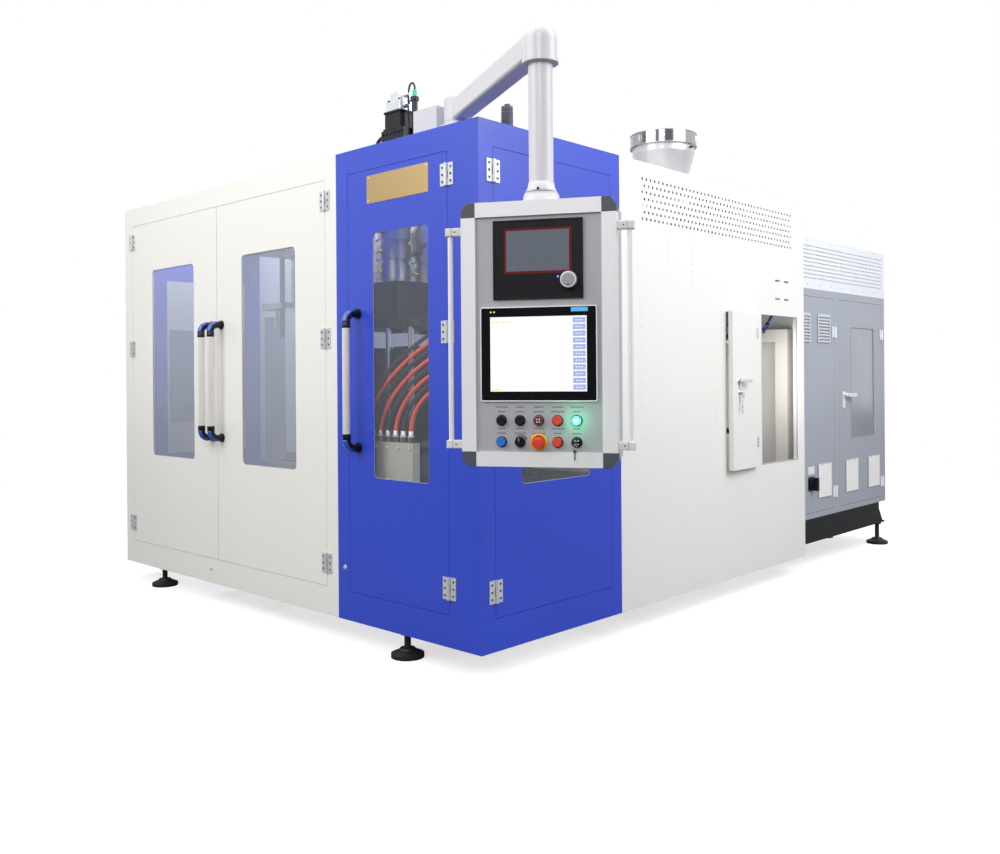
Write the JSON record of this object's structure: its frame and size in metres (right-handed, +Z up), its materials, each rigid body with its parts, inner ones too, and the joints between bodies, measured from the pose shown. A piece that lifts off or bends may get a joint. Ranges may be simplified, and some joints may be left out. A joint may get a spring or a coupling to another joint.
{
  "type": "blow moulding machine",
  "caption": "Enclosed shuttle blow moulding machine with hinged guard doors, roof hopper, swivel-arm operator panel and rear switchgear cabinet.",
  "frame": {"origin": "middle of the footprint on the floor, under the levelling feet", "axes": "+Z up, front doors face -Y, +X to the right seen from the front, cabinet towards +Y"},
  "size_m": [4.0482, 4.9116, 2.723],
  "materials": {
    "white": "powder coat, satin",
    "blue": "powder coat, satin",
    "grey": "powder coat, satin",
    "black_frame": "black paint",
    "bright_steel": "zinc plated or ground",
    "chrome": "chrome plated",
    "machine_paint": "machine enamel",
    "dark_steel": "blackened steel",
    "window": "polycarbonate",
    "handle": "anodised",
    "aluminium": "anodised",
    "panel_grey": "powder coat",
    "black_plastic": "moulded",
    "red_plastic": "moulded",
    "green_plastic": "moulded, lit",
    "blue_plastic": "moulded",
    "hose": "rubber",
    "foot": "rubber and black steel",
    "tank": "enamel",
    "brass": "brass and steel"
  },
  "bodies": {
    "root": {"machine_base": "black_frame", "levelling_feet": "foot", "white_front_frame": "white", "blue_corner_frame": "blue", "blue_roof": "blue", "mould_bay_shell": "white", "side_panel": "white", "extruder_bay_shell": "white", "door_hinges": "bright_steel", "cabinet_shell": "grey", "cabinet_hood": "grey", "barrel": "bright_steel", "gearbox": "machine_paint", "drive_motor": "machine_paint", "hopper": "bright_steel", "die_head": "dark_steel", "roof_valve_gear": "dark_steel", "clamp_bed": "machine_paint", "hydraulic_tank": "tank", "water_manifold": "brass", "coolant_hoses": "hose", "arm_base": "white"},
    "left_door": {"left_door": "white", "left_door_window": "window", "left_door_handle": "handle"},
    "right_door": {"right_door": "white", "right_door_window": "window", "right_door_handle": "handle"},
    "front_door": {"front_door": "blue", "front_door_window": "window", "front_door_handle": "handle"},
    "side_door": {"side_door": "blue", "side_door_window": "window", "side_door_handle": "handle"},
    "access_door": {"access_door": "white"},
    "access_lever": {"access_lever": "bright_steel"},
    "cabinet_left_door": {"cabinet_left_door": "grey"},
    "isolator_knob": {"isolator_knob": "black_plastic"},
    "cabinet_right_door": {"cabinet_right_door": "grey"},
    "cabinet_lever": {"cabinet_lever": "bright_steel"},
    "arm": {"arm_beam": "white"},
    "panel": {"panel_box": "panel_grey", "panel_frame": "aluminium", "controller_unit": "black_plastic", "touch_screen": "black_plastic"},
    "controller_knob": {"controller_knob": "aluminium"},
    "black_button_left": {"black_button_left": "black_plastic"},
    "black_button_right": {"black_button_right": "black_plastic"},
    "red_button_upper": {"red_button_upper": "red_plastic"},
    "green_button": {"green_button": "green_plastic"},
    "blue_button": {"blue_button": "blue_plastic"},
    "red_button_lower": {"red_button_lower": "red_plastic"},
    "emergency_stop": {"emergency_stop": "red_plastic"},
    "key_switch": {"key_switch": "bright_steel"},
    "speed_knob": {"speed_knob": "black_plastic"},
    "screw": {"screw": "bright_steel"},
    "mould_left": {"mould_left": "dark_steel"},
    "mould_right": {"mould_right": "dark_steel"},
    "blow_pins": {"blow_pins": "chrome"},
    "mould_carriage": {"mould_carriage": "machine_paint"}
  },
  "joints": [
    {"name": "left_door_hinge", "type": "hinge", "parent": "root", "child": "left_door", "pos_m": [-1.92411, -1.93711, 0.877], "axis": [0, 0, -1], "range_deg": [0, 110]},
    {"name": "right_door_hinge", "type": "hinge", "parent": "root", "child": "right_door", "pos_m": [0.06889, -1.93711, 0.877], "axis": [0, 0, 1], "range_deg": [0, 110]},
    {"name": "front_door_hinge", "type": "hinge", "parent": "root", "child": "front_door", "pos_m": [0.92089, -1.93711, 0.877], "axis": [0, 0, 1], "range_deg": [0, 95]},
    {"name": "side_door_hinge", "type": "hinge", "parent": "root", "child": "side_door", "pos_m": [1.11389, -1.84411, 0.877], "axis": [0, 0, -1], "range_deg": [0, 80]},
    {"name": "access_door_hinge", "type": "hinge", "parent": "root", "child": "access_door", "pos_m": [1.11389, 0.35289, 1.169], "axis": [0, 0, 1], "range_deg": [-3, 104]},
    {"name": "access_lever_turn", "type": "hinge", "parent": "access_door", "child": "access_lever", "pos_m": [1.11914, 0.09982, 1.219], "axis": [-0.9986, -0.0523, 0], "range_deg": [0, 90]},
    {"name": "cabinet_left_hinge", "type": "hinge", "parent": "root", "child": "cabinet_left_door", "pos_m": [1.04389, 1.57589, 1.059], "axis": [0, 0, 1], "range_deg": [0, 110]},
    {"name": "cabinet_right_hinge", "type": "hinge", "parent": "root", "child": "cabinet_right_door", "pos_m": [1.04389, 2.38089, 1.059], "axis": [0, 0, 1], "range_deg": [0, 110]},
    {"name": "cabinet_lever_turn", "type": "hinge", "parent": "cabinet_right_door", "child": "cabinet_lever", "pos_m": [1.03589, 1.72089, 1.112], "axis": [-1, 0, 0], "range_deg": [0, 90]},
    {"name": "isolator_turn", "type": "hinge", "parent": "cabinet_left_door", "child": "isolator_knob", "pos_m": [1.03589, 1.21589, 0.542], "axis": [-1, 0, 0], "range_deg": [0, 90]},
    {"name": "arm_swivel", "type": "hinge", "parent": "root", "child": "arm", "pos_m": [0.90089, -1.84411, 2.343], "axis": [0, 0, -1], "range_deg": [-52, 25]},
    {"name": "panel_swivel", "type": "hinge", "parent": "arm", "child": "panel", "pos_m": [1.70981, -2.23864, 2.343], "axis": [0, 0, 1], "range_deg": [-60, 60]},
    {"name": "controller_knob_turn", "type": "hinge", "parent": "panel", "child": "controller_knob", "pos_m": [1.83587, -2.24537, 1.573], "axis": [-0.4848, 0.8746, 0], "continuous": true},
    {"name": "speed_knob_turn", "type": "hinge", "parent": "panel", "child": "speed_knob", "pos_m": [1.68631, -2.32827, 1.035], "axis": [-0.4848, 0.8746, 0], "range_deg": [-135, 135]},
    {"name": "key_switch_turn", "type": "hinge", "parent": "panel", "child": "key_switch", "pos_m": [1.85424, -2.23519, 1.035], "axis": [-0.4848, 0.8746, 0], "range_deg": [0, 90]},
    {"name": "black_button_left_press", "type": "slide", "parent": "panel", "child": "black_button_left", "axis": [-0.4848, 0.8746, 0], "range_m": [0, 0.004], "stiffness_N_per_m": 500, "springref_m": -0.002},
    {"name": "black_button_right_press", "type": "slide", "parent": "panel", "child": "black_button_right", "axis": [-0.4848, 0.8746, 0], "range_m": [0, 0.004], "stiffness_N_per_m": 500, "springref_m": -0.002},
    {"name": "red_button_upper_press", "type": "slide", "parent": "panel", "child": "red_button_upper", "axis": [-0.4848, 0.8746, 0], "range_m": [0, 0.004], "stiffness_N_per_m": 500, "springref_m": -0.002},
    {"name": "green_button_press", "type": "slide", "parent": "panel", "child": "green_button", "axis": [-0.4848, 0.8746, 0], "range_m": [0, 0.004], "stiffness_N_per_m": 500, "springref_m": -0.002},
    {"name": "blue_button_press", "type": "slide", "parent": "panel", "child": "blue_button", "axis": [-0.4848, 0.8746, 0], "range_m": [0, 0.004], "stiffness_N_per_m": 500, "springref_m": -0.002},
    {"name": "red_button_lower_press", "type": "slide", "parent": "panel", "child": "red_button_lower", "axis": [-0.4848, 0.8746, 0], "range_m": [0, 0.004], "stiffness_N_per_m": 500, "springref_m": -0.002},
    {"name": "emergency_stop_press", "type": "slide", "parent": "panel", "child": "emergency_stop", "axis": [-0.4848, 0.8746, 0], "range_m": [0, 0.006]},
    {"name": "screw_turn", "type": "hinge", "parent": "root", "child": "screw", "pos_m": [0.54589, -0.13911, 1.92], "axis": [0, 1, 0], "continuous": true},
    {"name": "carriage_slide", "type": "slide", "parent": "root", "child": "mould_carriage", "axis": [1, 0, 0], "range_m": [-1, 0]},
    {"name": "mould_left_slide", "type": "slide", "parent": "mould_carriage", "child": "mould_left", "axis": [1, 0, 0], "range_m": [0, 0.099]},
    {"name": "mould_right_slide", "type": "slide", "parent": "mould_carriage", "child": "mould_right", "axis": [-1, 0, 0], "range_m": [0, 0.099]},
    {"name": "blow_pin_slide", "type": "slide", "parent": "root", "child": "blow_pins", "axis": [0, 0, 1], "range_m": [-0.12, 0]}
  ],
  "couplings": [
    {"joint": "mould_right_slide", "follows": "mould_left_slide", "ratio": 1}
  ]
}
